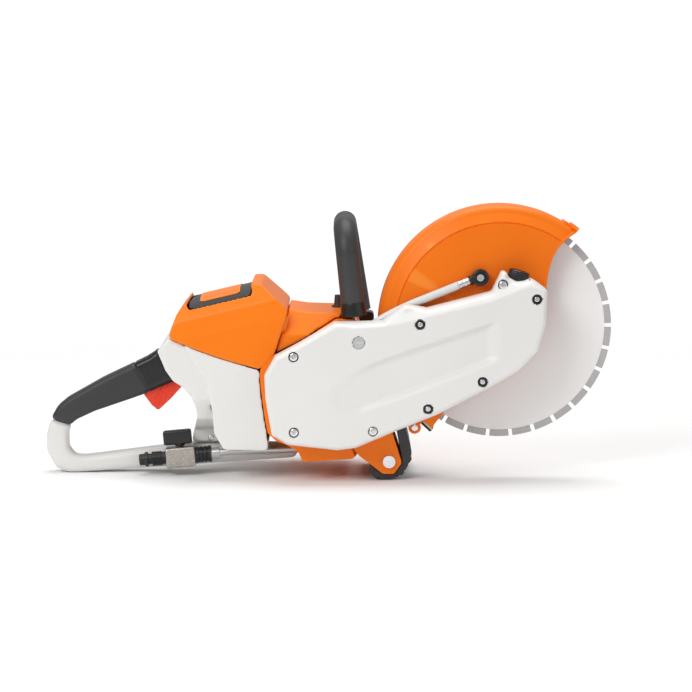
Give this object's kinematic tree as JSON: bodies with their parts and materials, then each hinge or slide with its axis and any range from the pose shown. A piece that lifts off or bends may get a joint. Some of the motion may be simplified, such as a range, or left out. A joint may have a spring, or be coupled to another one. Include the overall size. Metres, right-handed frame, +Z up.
{
  "type": "rescue saw",
  "caption": "Battery powered cut-off rescue saw with guarded diamond wheel, belt drive, looped rear handle, front handlebar and water feed",
  "frame": {"origin": "on the floor under the middle of the machine's box, resting on its skid and its rear handle loop", "axes": "+X forward to the cutting wheel, +Y to the operator's left, +Z up"},
  "size_m": [0.5868, 0.196, 0.2805],
  "materials": {
    "white_shell": "moulded, satin gloss",
    "orange_shell": "moulded, satin gloss",
    "orange_casting": "powder coated die casting",
    "white_tube": "powder coated",
    "black_grip": "matt moulded rubber",
    "black_plastic": "moulded, fine grain",
    "red_plastic": "moulded, smooth",
    "steel": "turned and ground",
    "zinc_steel": "bright zinc plated",
    "wheel_steel": "light painted steel core",
    "segment_bond": "sintered diamond bond",
    "cast_aluminium": "raw die casting",
    "copper_winding": "enamelled copper wire",
    "nickel_brass": "nickel plated brass",
    "belt_rubber": "ribbed rubber",
    "hose_clear": "milky flexible hose"
  },
  "bodies": {
    "saw_frame": {"belt_cover": "white_shell", "cover_screws": "zinc_steel", "cover_plug": "zinc_steel", "arm_casting": "orange_casting", "spindle_bearings": "steel", "drive_belt": "belt_rubber", "lock_spring": "steel", "motor_stator": "steel", "stator_windings": "copper_winding", "motor_bearings": "steel", "motor_housing": "orange_casting", "battery_hood": "orange_shell", "front_deck": "orange_shell", "rear_housing": "white_shell", "left_cover": "white_shell", "battery_terminal_tray": "black_plastic", "ejector_springs": "steel", "controller_box": "cast_aluminium", "loop_handle": "white_tube", "rear_grip": "black_grip", "grip_pins": "steel", "trigger_spring": "steel", "switch": "black_plastic", "handlebar_tube": "steel", "handlebar_sleeve": "black_grip", "handlebar_mounts": "black_plastic", "frame_bolts": "zinc_steel", "top_bumper": "black_grip", "foot_bracket": "orange_casting", "skid": "black_grip", "water_hose": "hose_clear", "valve_body": "nickel_brass", "hose_coupling": "black_plastic", "water_pipe": "nickel_brass"},
    "cutting_wheel": {"spindle": "steel", "driven_pulley": "cast_aluminium", "inner_flange": "steel", "outer_flange": "steel", "flange_bolt": "zinc_steel", "wheel_core": "wheel_steel", "diamond_segments": "segment_bond"},
    "rotor": {"motor_shaft": "steel", "rotor_core": "steel", "drive_pulley": "cast_aluminium", "cooling_fan": "black_plastic"},
    "guard": {"guard_shell": "orange_casting", "guard_far_side": "orange_casting", "guard_screws": "zinc_steel", "guard_rubber_strip": "black_grip", "banjo_fitting": "black_plastic", "banjo_bolt": "zinc_steel", "hose_ferrule": "zinc_steel"},
    "trigger": {"trigger": "red_plastic"},
    "lockout": {"lockout_lever": "black_plastic"},
    "lock_button": {"lock_button": "black_plastic"},
    "water_valve": {"valve_lever": "black_plastic", "valve_ball": "nickel_brass"},
    "battery": {"battery_case": "black_plastic", "battery_top": "black_plastic"},
    "latch": {"battery_latch": "red_plastic"}
  },
  "joints": [
    {"name": "wheel_spin", "type": "hinge", "parent": "saw_frame", "child": "cutting_wheel", "pos_m": [0.1784, -0.036, 0.1555], "axis": [0, 1, 0], "continuous": true},
    {"name": "motor_spin", "type": "hinge", "parent": "saw_frame", "child": "rotor", "pos_m": [0.002, -0.02, 0.098], "axis": [0, 1, 0], "continuous": true},
    {"name": "guard_swing", "type": "hinge", "parent": "saw_frame", "child": "guard", "pos_m": [0.1784, -0.055, 0.1555], "axis": [0, -1, 0], "range_deg": [0, 20], "deforming": ["water_hose"]},
    {"name": "trigger_pull", "type": "hinge", "parent": "saw_frame", "child": "trigger", "pos_m": [-0.156, 0, 0.101], "axis": [0, 1, 0], "range_deg": [0, 12], "stiffness_Nm_per_rad": 0.4, "springref_deg": -20.05},
    {"name": "lockout_press", "type": "hinge", "parent": "saw_frame", "child": "lockout", "pos_m": [-0.172, 0, 0.1225], "axis": [0, -1, 0], "range_deg": [0, 8], "stiffness_Nm_per_rad": 0.3, "springref_deg": -17.19},
    {"name": "lock_press", "type": "slide", "parent": "saw_frame", "child": "lock_button", "axis": [-0.2924, 0, -0.9563], "range_m": [0, 0.006], "stiffness_N_per_m": 900, "springref_m": -0.004, "deforming": ["lock_spring"]},
    {"name": "valve_turn", "type": "hinge", "parent": "saw_frame", "child": "water_valve", "pos_m": [-0.1515, -0.026, 0.0192], "axis": [-0.0872, 0, 0.9962], "range_deg": [0, 90]},
    {"name": "battery_slide", "type": "slide", "parent": "saw_frame", "child": "battery", "axis": [-0.225, 0, 0.9744], "range_m": [0, 0.14]},
    {"name": "latch_press", "type": "slide", "parent": "battery", "child": "latch", "axis": [0.225, 0, -0.9744], "range_m": [0, 0.0025], "stiffness_N_per_m": 1200, "springref_m": -0.003}
  ],
  "couplings": [
    {"joint": "motor_spin", "follows": "wheel_spin", "ratio": 1.75}
  ]
}
